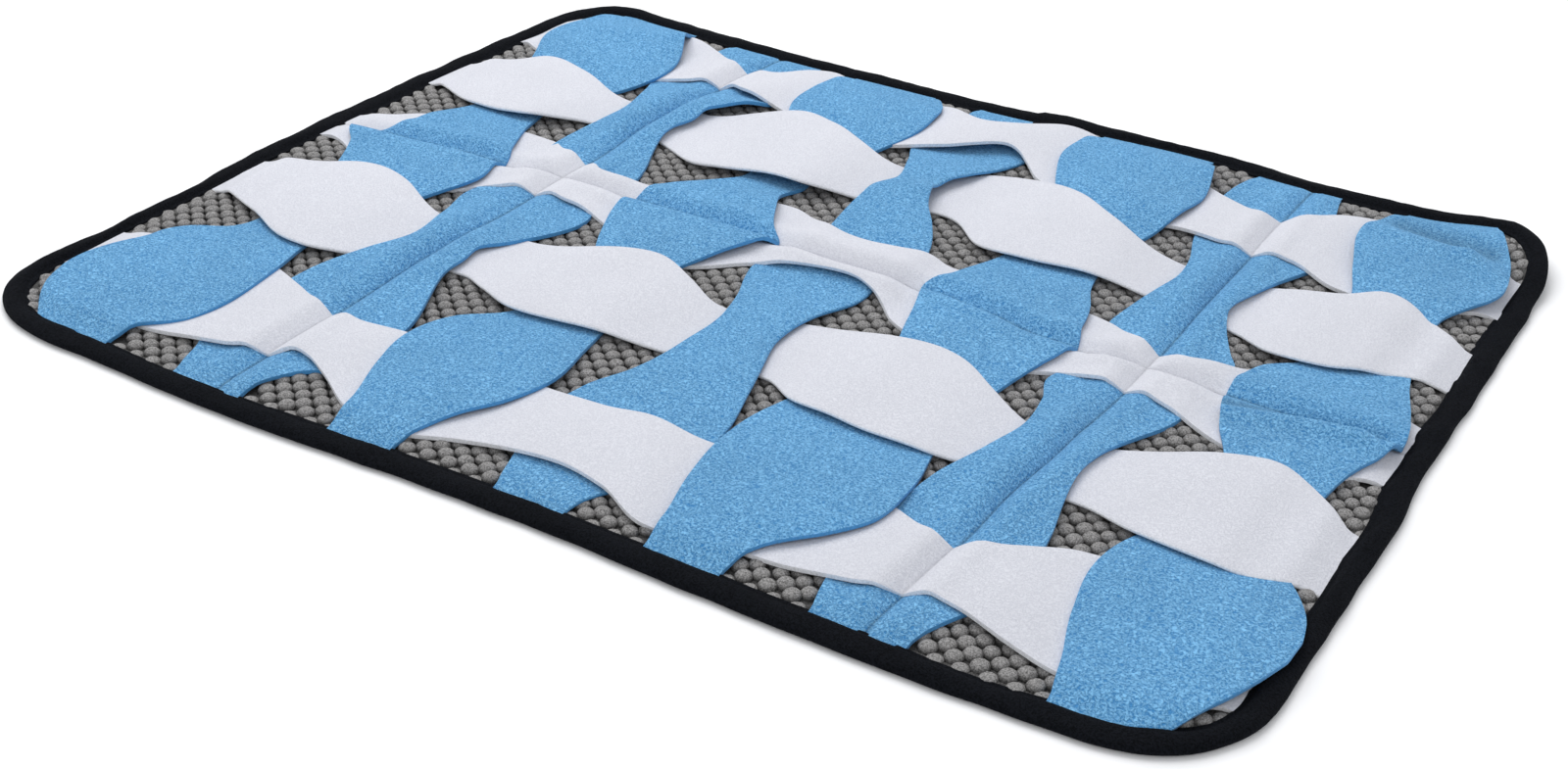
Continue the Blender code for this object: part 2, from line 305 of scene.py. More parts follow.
def fleeceMaterial(name, cloth):
    material, tree, place = clothMaterial(name, pileLook)
    link = tree.links.new

    # bent coordinates, so that the curls wander
    curlScale = 1 / (cloth["curl"] * mm)
    bend = addNode(tree, "ShaderNodeTexNoise", Scale=curlScale, Detail=pileLook["bendDetail"])
    link(place, bend.inputs["Vector"])
    bent = addNode(tree, "ShaderNodeVectorMath", operation="MULTIPLY_ADD")
    bent.inputs[1].default_value = (cloth["curl"] * pileLook["bendBy"] * mm,) * 3
    link(bend.outputs["Color"], bent.inputs[0])
    link(place, bent.inputs[2])

    # soft curls of pile with pits between them, coloured light on the tops as painted highlight and dark in
    # the pits as painted shade
    curls = addNode(tree, "ShaderNodeTexNoise", Scale=pileLook["curlsPerBend"] * curlScale,
                    Detail=pileLook["curlDetail"], Roughness=pileLook["curlRoughness"])
    link(bent.outputs[0], curls.inputs["Vector"])
    pile = addRange(tree, curls.outputs["Fac"], (cloth["pits"], cloth["tops"]),
                    interpolation_type="SMOOTHSTEP")
    colour = addColours(tree, cloth["dark"], cloth["light"], pile)

    # broad uneven patches
    patches = addNode(tree, "ShaderNodeTexNoise", Scale=pileLook["patchScale"],
                      Detail=pileLook["patchDetail"])
    link(place, patches.inputs["Vector"])
    patchy = addRange(tree, patches.outputs["Fac"], pileLook["patchRange"],
                      (1 - cloth["patchiness"], 1 + cloth["patchiness"]))

    # little light gets down into the seams and creases
    seam = addNode(tree, "ShaderNodeAttribute", attribute_name="seam")
    shade = addNode(tree, "ShaderNodeMath", operation="MULTIPLY_ADD")
    link(seam.outputs["Fac"], shade.inputs[0])
    shade.inputs[1].default_value = -cloth["seamShade"]
    shade.inputs[2].default_value = 1.0
    tone = addNode(tree, "ShaderNodeMath", operation="MULTIPLY")
    link(patchy, tone.inputs[0])
    link(shade.outputs[0], tone.inputs[1])
    scaleColour(tree, colour, tone.outputs[0])

    addBump(tree, pile, pileLook["bump"], cloth["curlHeight"])
    shader = tree.nodes["Principled BSDF"]
    shader.inputs["Sheen Weight"].default_value = cloth["sheen"]
    shader.inputs["Sheen Roughness"].default_value = pileLook["sheenRoughness"]
    shader.inputs["Sheen Tint"].default_value = (*cloth["sheenTint"], 1)
    return material


# cut edge colours: the blue one darker than its fleece, partly for the denser knit and partly as painted
# shade; the white one lighter than its fleece, as painted light
cutEdge = {
    "blue": (0.075, 0.29, 0.60),
    "white": (0.80, 0.81, 0.84),
    "darker": 0.65,
    "lighter": 1.35,
    "loopScale": 1100.0,
    "loopDetail": 2.0,
    "bump": 0.8,
    "loopHeight": 0.4,
    "roughness": 0.95,
    "specular": 0.1,
    "sheen": 0.15,
}


def cutEdgeMaterial(name, colour):
    # the denser knit that shows where the cloth is cut, in a colour that also holds painted light: a darker
    # blue, partly denser knit and partly painted shade on the cut face, and a lighter white as painted light
    # caught by the pile
    material, tree, place = clothMaterial(name, cutEdge)
    loops = addNode(tree, "ShaderNodeTexNoise", Scale=cutEdge["loopScale"], Detail=cutEdge["loopDetail"])
    tree.links.new(place, loops.inputs["Vector"])
    dark = [cutEdge["darker"] * channel for channel in colour]
    light = [cutEdge["lighter"] * channel for channel in colour]
    shader = tree.nodes["Principled BSDF"]
    tree.links.new(addColours(tree, dark, light, loops.outputs["Fac"]), shader.inputs["Base Color"])
    addBump(tree, loops.outputs["Fac"], cutEdge["bump"], cutEdge["loopHeight"])
    shader.inputs["Sheen Weight"].default_value = cutEdge["sheen"]
    return material


greyPlush = {
    "light": (0.40, 0.39, 0.385),
    "dark": (0.068, 0.066, 0.064),
    "speck": 0.75,
    "speckDetail": 3.0,
    "speckRoughness": 0.7,
    "speckRange": (0.32, 0.64),
    "depth": 0.3,
    "depthRange": (0.5, 0.75),
    "bump": 0.8,
    "speckHeight": 0.35,
    "roughness": 0.95,
    "specular": 0.1,
}


def plushMaterial(name, plush):
    # specked on the tops, with painted shade darkening the feet of the bobbles and the cloth between them,
    # where V runs from 0.5 at the foot to 1 on top; a piece without the UV map reads V as 0 and takes the
    # full painted shade
    material, tree, place = clothMaterial(name, plush)
    specks = addNode(tree, "ShaderNodeTexNoise", Scale=1 / (plush["speck"] * mm),
                     Detail=plush["speckDetail"], Roughness=plush["speckRoughness"])
    tree.links.new(place, specks.inputs["Vector"])
    speckled = addRange(tree, specks.outputs["Fac"], plush["speckRange"])
    colour = addColours(tree, plush["dark"], plush["light"], speckled)
    unwrapped = addNode(tree, "ShaderNodeUVMap", uv_map="UVMap")
    split = addNode(tree, "ShaderNodeSeparateXYZ")
    tree.links.new(unwrapped.outputs[0], split.inputs[0])
    # painted shade: darker towards the foot of each bobble
    up = addRange(tree, split.outputs["Y"], plush["depthRange"], (plush["depth"], 1),
                  interpolation_type="SMOOTHSTEP")
    scaleColour(tree, colour, up)
    addBump(tree, specks.outputs["Fac"], plush["bump"], plush["speckHeight"])
    return material


blueCloth = fleeceMaterial("blueFleece", blueFleece)
whiteCloth = fleeceMaterial("whiteFleece", whiteFleece)
blackCloth = fleeceMaterial("blackFleece", blackFleece)
blueCut = cutEdgeMaterial("blueCutEdge", cutEdge["blue"])
whiteCut = cutEdgeMaterial("whiteCutEdge", cutEdge["white"])
greyCloth = plushMaterial("greyPlush", greyPlush)
print("materials made")

# Where the strips lie, in mm. Blue strips run along Y and white ones along X.
# low and high: where the two edges lie, heights: how high the middle lies, each as (place along, value)
# draws: place along, which edge (-1 low, 1 high), how far it rises, how far it is drawn in, over what length
# creases: from x, y, to x, y, how high (minus is a trough), how wide
# cornerInset: how near the strip comes to the mat's rounded corners, where that isn't endInset

strip = {
    "thickness": 2.2,
    "round": 1.0,
    "roundSegments": 3,
    "roundAbove": 55,
    "level": 5.5,  # where it lies on the bobbles
    "endInset": 10.0,  # its ends stop this far inside the mat's edge, below the binding
    "endHeight": 2.2,
    "endReach": 17,  # it comes down over this length, and more of it where it stands higher
    "endSteepness": 1.6,
    "endFade": 9,
    "step": 3.0,
    "cellsAcross": 26,
    "crowding": 1.6,  # over 1 brings the cells closer to a seam along the middle
    "seamOffsets": (-7, -5, -3.4, -2.2, -1.3, -0.6, 0, 0.6, 1.3, 2.2, 3.4, 5, 7),
    "seamRound": 0.7,
    "sewnWidth": 4.2,
    "pulledWidth": 7.5,
    "pulledTo": 3.2,
    "pulledShare": 0.34,  # how much of its rise is left in a seam
    "puff": 2.0,
    "puffAt": 11,
    "puffWidth": 6,
    "shadeWidth": 1.2,
    "creaseShade": 0.25,  # shade for each mm that a crease goes down
    "droop": 0.2,  # how far the edges hang below a raised middle
    "wave": 0.7,
    "waveAlong": 0.035,
    "waveAcross": 0.01,
    "ripple": 0.6,
    "rippleScale": 0.03,
}

blueStrips = {
    1: {
        "low": ((-261, -303), (-242, -317), (-221, -325), (-204, -326), (-188, -322), (-170, -314),
                (-157, -312), (-145, -305), (-132, -289), (-115, -284), (-80, -287), (-45, -292),
                (-10, -307), (10, -321), (22, -304), (34, -297), (50, -295), (80, -286), (118, -285),
                (166, -303), (204, -319), (238, -308), (257, -300)),
        "high": ((-257, -254), (-242, -247), (-225, -231), (-200, -225), (-160, -230), (-130, -239),
                 (-80, -243), (-40, -225), (-10, -213), (12, -216), (28, -218), (45, -226), (75, -238),
                 (118, -243), (152, -222), (178, -211), (205, -213), (238, -231), (257, -240)),
        "heights": ((-257, 5.5), (-244, 8.8), (-198, 11), (-80, 5.5), (12, 10.8), (118, 5.5), (208, 12.7),
                    (246, 11), (257, 5.5)),
        "draws": ((226, 1, 12, 0, 28),),
    },
    2: {
        "low": ((-257, -206), (-238, -212), (-226, -220), (-190, -222), (-146, -218), (-115, -207),
                (-86, -197), (-55, -202), (-26, -211), (-8, -209), (22, -200), (44, -208), (70, -210),
                (100, -203), (125, -200), (155, -207), (190, -220), (225, -213), (257, -207)),
        "high": ((-257, -162), (-240, -157), (-229, -150), (-218, -136), (-195, -133), (-158, -137),
                 (-110, -155), (-75, -152), (-45, -140), (-18, -133), (5, -138), (20, -144), (38, -139),
                 (58, -143), (90, -155), (118, -159), (140, -148), (160, -146), (190, -131), (220, -133),
                 (257, -140)),
        "heights": ((-257, 5.5), (-203, 5.5), (-86, 10.5), (-12, 5.5), (50, 5.5), (125, 11.9), (207, 5.5),
                    (257, 5.5)),
        "draws": ((-80, 1, 1, 4, 14), (145, 1, 3, 8, 19), (170, 1, 6, 0, 20)),
    },
    3: {
        "low": ((-257, -107), (-235, -111), (-206, -121), (-175, -128), (-146, -121), (-122, -102),
                (-82, -99), (-50, -104), (-26, -114), (5, -126), (25, -127), (48, -119), (72, -99),
                (86, -91), (127, -95), (160, -106), (190, -119), (215, -121), (240, -119), (257, -113)),
        "high": ((-257, -70), (-232, -63), (-200, -46), (-170, -39), (-134, -47), (-82, -55), (-40, -57),
                 (-22, -50), (5, -38), (24, -29), (34, -38), (55, -49), (75, -57), (94, -53), (127, -57),
                 (160, -43), (195, -30), (226, -33), (245, -44), (257, -55)),
        "heights": ((-257, 7.1), (-246, 8.8), (-207, 11), (-82, 5.5), (14, 10.8), (127, 5.5), (212, 11.9),
                    (249, 10.1), (257, 7.1)),
        "draws": ((6, 1, 3.2, 0, 48), (58, 1, 4, 0, 18), (212, 1, 4, 0, 42)),
    },
    4: {
        "low": ((-257, -11), (-235, -18), (-200, -30), (-165, -27), (-140, -15), (-110, -8), (-74, -6),
                (-45, -13), (-18, -24), (-5, -27), (10, -20), (24, -16), (60, -15), (95, -17), (110, -17),
                (128, -10), (155, -18), (188, -31), (204, -28), (225, -26), (257, -23)),
        "high": ((-257, 29), (-242, 34), (-205, 55), (-165, 55), (-134, 48), (-100, 38), (-74, 31),
                 (-40, 34), (-14, 42), (5, 43), (24, 42), (42, 45), (58, 47), (85, 35), (104, 23),
                 (116, 18), (128, 15), (142, 17), (155, 23), (170, 28), (187, 33), (203, 38), (218, 37),
                 (257, 14)),
        "heights": ((-257, 5.5), (-207, 5.5), (-84, 10.5), (15, 5.5), (124, 13.6), (213, 5.5),
                    (257, 5.5)),
        "draws": ((118, 1, 4.5, 0, 16), (130, 1, -2, 0, 12)),
    },
    5: {
        "low": ((-257, 73), (-235, 70), (-205, 63), (-165, 58), (-125, 61), (-88, 74), (-50, 82),
                (-20, 76), (10, 68), (22, 62), (34, 68), (70, 80), (121, 86), (160, 76), (185, 65),
                (214, 56), (240, 56), (257, 60)),
        "high": ((-257, 113), (-236, 120), (-215, 141), (-194, 154), (-160, 154), (-125, 146), (-88, 139),
                 (-50, 147), (-20, 154), (5, 160), (24, 155), (45, 150), (75, 138), (121, 134),
                 (166, 145), (205, 150), (238, 142), (257, 131)),
        "heights": ((-257, 7.1), (-247, 8.8), (-210, 11.4), (-88, 5.5), (8, 10.8), (121, 5.5),
                    (208, 11.9), (249, 10.1), (257, 7.1)),
        "draws": ((-185, 1, 1.2, 0, 45), (5, -1, 2.4, 0, 24), (176, 1, 3.5, 0, 26), (214, -1, 1.5, 0, 36),
                  (236, 1, 6, 0, 20), (246, -1, 1.5, 0, 24)),
    },
    6: {
        "low": ((-257, 158), (-235, 153), (-200, 150), (-146, 156), (-110, 166), (-82, 172), (-50, 167),
                (-30, 160), (-5, 168), (20, 172), (40, 163), (55, 164), (85, 171), (106, 175), (130, 172),
                (160, 163), (195, 155), (235, 156), (257, 161)),
        "high": ((-257, 205), (-240, 211), (-205, 226), (-158, 222), (-115, 213), (-86, 214), (-60, 221),
                 (-35, 230), (0, 234), (34, 235), (46, 228), (80, 213), (106, 216), (152, 229),
                 (166, 234), (190, 232), (225, 222), (257, 214)),
        "heights": ((-257, 5.5), (-208, 5.5), (-102, 10.5), (-26, 5.5), (32, 5.5), (97, 10.5), (190, 5.5),
                    (257, 5.5)),
    },
    7: {
        "low": ((-257, 268), (-236, 263), (-206, 254), (-172, 248), (-146, 250), (-100, 266), (-55, 263),
                (-26, 250), (8, 241), (40, 247), (56, 262), (70, 264), (98, 264), (140, 261), (170, 251),
                (212, 241), (238, 246), (257, 254)),
        "high": ((-261, 314), (-250, 320), (-238, 326), (-222, 334), (-202, 341), (-183, 346),
                 (-165, 343), (-153, 339), (-141, 332), (-128, 322), (-100, 311), (-50, 316), (-26, 323),
                 (0, 336), (30, 330), (65, 318), (98, 311), (140, 311), (158, 321), (172, 330),
                 (188, 334), (207, 331), (226, 325), (246, 314), (261, 306)),
        "heights": ((-257, 7.1), (-246, 8.5), (-200, 9.8), (-100, 5.5), (-1, 10), (98, 5.5), (187, 11.9),
                    (244, 10.1), (257, 7.1)),
        "draws": ((-2, 1, 4.5, 2, 15), (190, -1, 4, 0, 30)),
        "creases": ((246, 221, 303, 212, 3.5, 9), (303, 212, 322, 198, 2.5, 8),
                    (258, 237, 315, 223, -3, 8), (244, -18, 314, -6, 4, 6), (244, -6, 320, 5, -2.6, 6)),
        "cornerInset": 5,
    },
}

whiteStrips = {
    1: {
        "low": ((-332, -208), (-300, -226), (-265, -241), (-215, -237), (-180, -227), (-160, -219),
                (-137, -228), (-110, -244), (-80, -250), (-45, -239), (5, -233), (35, -238), (60, -250),
                (80, -246), (104, -243), (135, -241), (175, -236), (190, -230), (212, -230), (240, -240),
                (270, -246), (300, -244), (318, -236), (332, -226)),
        "high": ((-332, -164), (-280, -150), (-240, -153), (-209, -166), (-185, -175), (-155, -178),
                 (-125, -172), (-80, -162), (-44, -177), (-5, -179), (20, -174), (55, -177), (108, -166),
                 (145, -174), (180, -189), (199, -186), (220, -173), (240, -163), (297, -155),
                 (332, -179)),
        "heights": ((-332, 5.5), (-273, 5.5), (-178, 10.5), (-80, 5.5), (12, 10.5), (108, 5.5),
                    (190, 10.5), (297, 5.5), (332, 5.5)),
        "draws": ((82, -1, -3.5, 0, 26), (190, 1, 2.5, 0, 25)),
    },
    2: {
        "low": ((-332, -97), (-317, -101), (-290, -113), (-257, -129), (-238, -130), (-221, -123),
                (-207, -117), (-179, -108), (-149, -104), (-130, -113), (-105, -124), (-75, -124),
                (-41, -118), (13, -110), (45, -109), (66, -123), (90, -127), (115, -130), (145, -128),
                (175, -122), (223, -127), (250, -136), (283, -141), (310, -139), (332, -130)),
        "high": ((-332, -50), (-305, -41), (-269, -29), (-245, -35), (-209, -52), (-179, -56),
                 (-156, -50), (-140, -54), (-118, -50), (-89, -35), (-68, -32), (-41, -45), (-17, -57),
                 (13, -53), (43, -46), (80, -41), (103, -38), (120, -43), (145, -59), (175, -74),
                 (205, -75), (235, -66), (262, -53), (285, -47), (307, -55), (332, -75)),
        "heights": ((-332, 5.5), (-320, 8.8), (-264, 11.9), (-179, 5.5), (-77, 11.9), (13, 5.5),
                    (108, 12.3), (191, 5.5), (280, 11), (318, 8), (332, 6.5)),
    },
    3: {
        "low": ((-332, -3), (-317, -7), (-300, -17), (-262, -34), (-222, -24), (-206, -9), (-180, -1),
                (-150, -2), (-125, -10), (-100, -25), (-70, -34), (-46, -22), (-30, -7), (-12, 0),
                (10, 5), (30, 5), (43, 0), (55, -9), (67, -20), (95, -34), (120, -38), (148, -29),
                (165, -21), (187, -19), (205, -20), (235, -30), (260, -41), (295, -43), (332, -29)),
        "high": ((-332, 33), (-317, 41), (-300, 54), (-262, 63), (-212, 65), (-197, 55), (-170, 46),
                 (-158, 39), (-137, 41), (-105, 55), (-70, 64), (-43, 67), (-28, 61), (-5, 50), (15, 47),
                 (31, 49), (52, 53), (67, 50), (116, 50), (150, 45), (165, 41), (176, 33), (205, 23),
                 (225, 29), (250, 38), (287, 42), (332, 33)),
        "heights": ((-332, 5.5), (-219, 5.5), (-186, 9.8), (-154, 9.8), (-119, 5.8), (-37, 5.8), (-4, 11),
                    (38, 11.4), (70, 5.8), (157, 5.8), (186, 9.8), (216, 9.8), (248, 5.8), (332, 5.5)),
    },
    4: {
        "low": ((-332, 97), (-317, 91), (-288, 79), (-250, 77), (-233, 84), (-212, 98), (-180, 104),
                (-155, 99), (-125, 82), (-105, 82), (-80, 86), (-53, 85), (-29, 96), (4, 103), (26, 108),
                (43, 102), (67, 79), (95, 77), (150, 82), (175, 80), (200, 76), (223, 68), (245, 54),
                (275, 54), (300, 66), (312, 72), (332, 76)),
        "high": ((-332, 140), (-310, 149), (-290, 164), (-257, 158), (-221, 142), (-190, 144),
                 (-149, 154), (-130, 167), (-105, 182), (-80, 174), (-53, 161), (-25, 152), (12, 158),
                 (31, 173), (67, 175), (91, 169), (115, 151), (145, 132), (175, 126), (205, 124),
                 (235, 131), (258, 136), (277, 150), (300, 141), (332, 122)),
        "heights": ((-332, 5.5), (-320, 8.8), (-264, 11.9), (-180, 5.5), (-78, 12.3), (4, 5.5),
                    (110, 12.7), (194, 5.5), (280, 12.1), (316, 7.5), (332, 5.5)),
        "draws": ((-285, 1, 1.5, 0, 40), (-240, -1, 3, 0, 30), (-65, 1, 2, 0, 50), (-60, -1, 5, 0, 40),
                  (125, 1, 1.5, 0, 40)),
    },
    5: {
        "low": ((-332, 189), (-300, 174), (-262, 164), (-230, 168), (-209, 178), (-180, 193), (-155, 188),
                (-125, 182), (-78, 169), (-35, 173), (-10, 184), (7, 196), (22, 206), (32, 203),
                (43, 192), (57, 178), (103, 167), (150, 166), (187, 161), (220, 160), (247, 146),
                (285, 148), (332, 167)),
        "high": ((-332, 231), (-300, 243), (-265, 246), (-236, 251), (-221, 246), (-190, 227),
                 (-161, 223), (-150, 230), (-139, 243), (-125, 252), (-115, 251), (-98, 245), (-60, 243),
                 (-35, 242), (-8, 231), (15, 237), (40, 250), (58, 251), (74, 245), (103, 244),
                 (128, 238), (140, 230), (163, 216), (185, 208), (205, 216), (225, 231), (260, 241),
                 (300, 240), (332, 212)),
        "heights": ((-332, 5.5), (-262, 5.5), (-174, 11), (-78, 5.5), (7, 13), (103, 5.5), (193, 10.5),
                    (288, 5.8), (332, 5.8)),
        "draws": ((-150, -1, 4, 0, 25), (14, -1, 2.5, 0, 24)),
    },
}


def curveAt(rows, along):
    # a curve through rows of (place, value)
    along = min(max(along, rows[0][0]), rows[-1][0])
    index = max(number for number in range(len(rows) - 1) if rows[number][0] <= along)
    before, here = rows[max(index - 1, 0)], rows[index]
    after, last = rows[index + 1], rows[min(index + 2, len(rows) - 1)]
    gap = after[0] - here[0]
    share = (along - here[0]) / gap
    leaving = (after[1] - before[1]) / (after[0] - before[0]) * gap
    arriving = (last[1] - here[1]) / (last[0] - here[0]) * gap
    rise = after[1] - here[1]
    bend = (leaving + arriving - 2 * rise) * share + 3 * rise - 2 * leaving - arriving
    return here[1] + share * (leaving + share * bend)


def heightAt(rows, along):
    along = min(max(along, rows[0][0]), rows[-1][0])
    for here, after in zip(rows, rows[1:]):
        if along <= after[0]:
            break
    return here[1] + bendBlend((along - here[0]) / (after[0] - here[0])) * (after[1] - here[1])


def stripUnder(x, y):
    # 1 where a strip's end runs under the binding, fading away beside it
    onSide = abs(x) > abs(y) + mat["halfLength"] - mat["halfWidth"]
    strips, place, end = (whiteStrips, y, x) if onSide else (blueStrips, x, y)
    most = 0
    for cut in strips.values():
        last = -1 if end > 0 else 0
        inside = min(place - cut["low"][last][1], cut["high"][last][1] - place)
        most = max(most, smoothStep(1 + inside / strip["endFade"]))
    return most


# Backing of the plush, flat on the floor and raised where the binding grips it

backing = {
    # inset, height, round the section from the middle of the underside to the middle of the top
    "section": ((115, 0), (80, 0), (55, 0), (34, 0), (19, 0), (17.0, 0.9), (2.3, 1.25),
                (2.3, 3.1), (16.9, 2.1), (18.4, 1.3), (34, 1.3), (55, 1.3), (80, 1.3), (115, 1.3)),
    "step": 14,
}

backingCloth = loft(
    "backingCloth",
    [[laid(x, y, z) for x, y in outline(inset, backing["step"])] for inset, z in backing["section"]],
    closedTube=False,
)
finishPiece(backingCloth, "base_cloth", "grey_plush", greyCloth)

# Bobbles

bobble = {
    "segments": 10,
    "rings": 8,
    "across": 9.1,
    "foot": 0.7,
    "top": 5.1,
    "roundness": 0.62,
    "pitchX": 12.1,
    "pitchY": 11.0,
    "panels": 4,
    "inset": 15.5,
    "wander": 0.5,
    "wanderScale": 0.9,
    "squash": 0.12,
    "squashScale": 0.7,
    "lean": 0.25,
    "leanScale": 0.5,
    "pressed": 0.5,  # how much of its height is left beside the binding
    "freeAt": 21.5,  # how far from the mat's edge it has its full height
    "underStrip": 27,  # no bobbles are made under a strip's end, this near to the mat's edge
    "coveredAt": 0.98,
    "seamPress": 0.5,  # how much of its height is lost under a seam
    "seamReach": 8,
}


def insetOf(x, y):
    # distance inside the mat's outline
    radius = mat["cornerRadius"]
    pastX = abs(x) - (mat["halfLength"] - radius)
    pastY = abs(y) - (mat["halfWidth"] - radius)
    if pastX > 0 and pastY > 0:
        return radius - math.hypot(pastX, pastY)
    return radius - max(pastX, pastY)


def outwardsAt(x, y):
    # away from the mat, square to its outline
    pastX = abs(x) - (mat["halfLength"] - mat["cornerRadius"])
    pastY = abs(y) - (mat["halfWidth"] - mat["cornerRadius"])
    if pastX > 0 and pastY > 0:
        return Vector((math.copysign(pastX, x), math.copysign(pastY, y))).normalized()
    return Vector((math.copysign(1, x), 0)) if pastX > pastY else Vector((0, math.copysign(1, y)))


def pressAt(x, y, inset):
    # how much of a bobble's height is left beside the binding and under the seams
    free = smoothStep((inset - bobble["inset"]) / (bobble["freeAt"] - bobble["inset"]))
    press = bobble["pressed"] + (1 - bobble["pressed"]) * free
    toSeam = min(abs(x - valueAt(seams["left"], y)), abs(x - valueAt(seams["right"], y)),
                 abs(y - valueAt(seams["along"], x)))
    return press * (1 - bobble["seamPress"] * math.exp(-(toSeam / bobble["seamReach"]) ** 2))


def halfBall(name):
    bpy.ops.mesh.primitive_uv_sphere_add(segments=bobble["segments"], ring_count=bobble["rings"], radius=1)
    ball = bpy.context.object
    ball.name = name
    bpy.ops.object.mode_set(mode="EDIT")
    bpy.ops.mesh.select_all(action="SELECT")
    bpy.ops.mesh.bisect(plane_co=(0, 0, 0), plane_no=(0, 0, 1), clear_inner=True, use_fill=True)
    bpy.ops.object.mode_set(mode="OBJECT")
    return ball


def bobblePanel(number):
    # one bobble, copied in rows and columns, then moved into the nap of the laid mat
    panelLength = 2 * mat["halfLength"] / bobble["panels"]
    columns = 2 * (round(panelLength / bobble["pitchX"]) + 1)
    rows = round(2 * mat["halfWidth"] / bobble["pitchY"]) + 1
    fromX = -mat["halfLength"] + number * panelLength
    panel = halfBall(f"bobbles_{number + 1}")
    shape = [vertex.co.copy() for vertex in panel.data.vertices]
    for count, offset in ((columns, (1, 0, 0)), (rows, (0, 1, 0))):
        copies = panel.modifiers.new("copies", "ARRAY")
        copies.count = count
        copies.use_relative_offset = False
        copies.use_constant_offset = True
        copies.constant_offset_displace = offset
        bpy.ops.object.modifier_apply(modifier=copies.name)
    unwanted = []
    vertices = panel.data.vertices
    for index in range(columns * rows):
        first = index * len(shape)
        column, row = index % columns, index // columns
        x = fromX + column * bobble["pitchX"] / 2
        y = -mat["halfWidth"] + (row + column % 2 / 2) * bobble["pitchY"]
        inset = insetOf(x, y) + narrowerAt(x, y)
        hidden = inset < bobble["underStrip"] and stripUnder(x, y) > bobble["coveredAt"]
        if inset < bobble["inset"] or hidden or not fromX <= x < fromX + panelLength:
            unwanted.extend(range(first, first + len(shape)))
            continue
        wander, squash, lean = bobble["wanderScale"], bobble["squashScale"], bobble["leanScale"]
        x += bobble["wander"] * uneven(x * wander, y * wander, layers["bobbleX"])
        y += bobble["wander"] * uneven(x * wander, y * wander, layers["bobbleY"])
        swell = 1 + bobble["squash"] * uneven(x * squash, y * squash, layers["bobbleSize"])
        leaning = bobble["lean"] * uneven(x * lean, y * lean, layers["bobbleLean"])
        across = bobble["across"] / 2 * swell
        height = (bobble["top"] - bobble["foot"]) * pressAt(x, y, inset) * swell
        for corner, co in enumerate(shape):
            up = max(co.z, 0) ** bobble["roundness"] if math.hypot(co.x, co.y) else 1
            vertices[first + corner].co = laid(
                x + (co.x + leaning * co.z) * across, y + co.y * across, bobble["foot"] + height * up)
    bm = bmesh.new()
    bm.from_mesh(panel.data)
    bm.verts.ensure_lookup_table()
    bmesh.ops.delete(bm, geom=[bm.verts[index] for index in unwanted], context="VERTS")
    bm.to_mesh(panel.data)
    bm.free()
    finishPiece(panel, "base_cloth", "grey_plush", greyCloth)
    panel.select_set(False)
    return panel


bobblePanels = [bobblePanel(number) for number in range(bobble["panels"])]
print("plush made")

# Strips, each a grid laid over its neighbours and thickened

# how the strips of each colour run, the seams that cross them, and the ones with a seam down the middle
weave = {
    "blue": {
        "strips": blueStrips,
        "alongX": False,
        "halfAlong": mat["halfWidth"],
        "halfAcross": mat["halfLength"],
        "crossSeams": [seams["along"]],
        "sewnAlong": {2: seams["left"], 6: seams["right"]},
        "cloths": (blueCloth, blueCut),
        "rippleLayer": layers["blueRipple"],
    },
    "white": {
        "strips": whiteStrips,
        "alongX": True,
        "halfAlong": mat["halfLength"],
        "halfAcross": mat["halfWidth"],
        "crossSeams": [seams["left"], seams["right"]],
        "sewnAlong": {3: seams["along"]},
        "cloths": (whiteCloth, whiteCut),
        "rippleLayer": layers["whiteRipple"],
    },
}


def widestAt(halfAlong, halfAcross, along, inset):
    # how far out a strip may lie before it would leave the mat's rounded corner
    radius = mat["cornerRadius"] - inset
    pastCorner = min(max(abs(along) - (halfAlong - mat["cornerRadius"]), 0), radius)
    return halfAcross - mat["cornerRadius"] + math.sqrt(radius ** 2 - pastCorner ** 2)


def fall(away, width):
    # 1 at a seam, falling steeply away from it on both sides
    return math.exp(-(math.hypot(away, strip["seamRound"]) - strip["seamRound"]) / width)


def creaseLift(creases, x, y):
    lift = 0
    for fromX, fromY, toX, toY, height, width in creases:
        runX, runY = toX - fromX, toY - fromY
        share = ((x - fromX) * runX + (y - fromY) * runY) / (runX ** 2 + runY ** 2)
        nearest = min(max(share, 0), 1)
        away = math.hypot(x - fromX - nearest * runX, y - fromY - nearest * runY)
        lift += height * math.exp(-(away / width) ** 2)
    return lift


def drawAt(draws, along, across):
    # how far a strip is lifted and pulled in here where its edge is drawn up
    lift, pull = 0, 0
    for place, side, rise, inwards, reach in draws:
        weight = ((1 + side * across) / 2) ** 2 * math.exp(-2 * ((along - place) / reach) ** 2)
        lift += rise * weight
        pull += side * inwards * weight
    return lift, pull


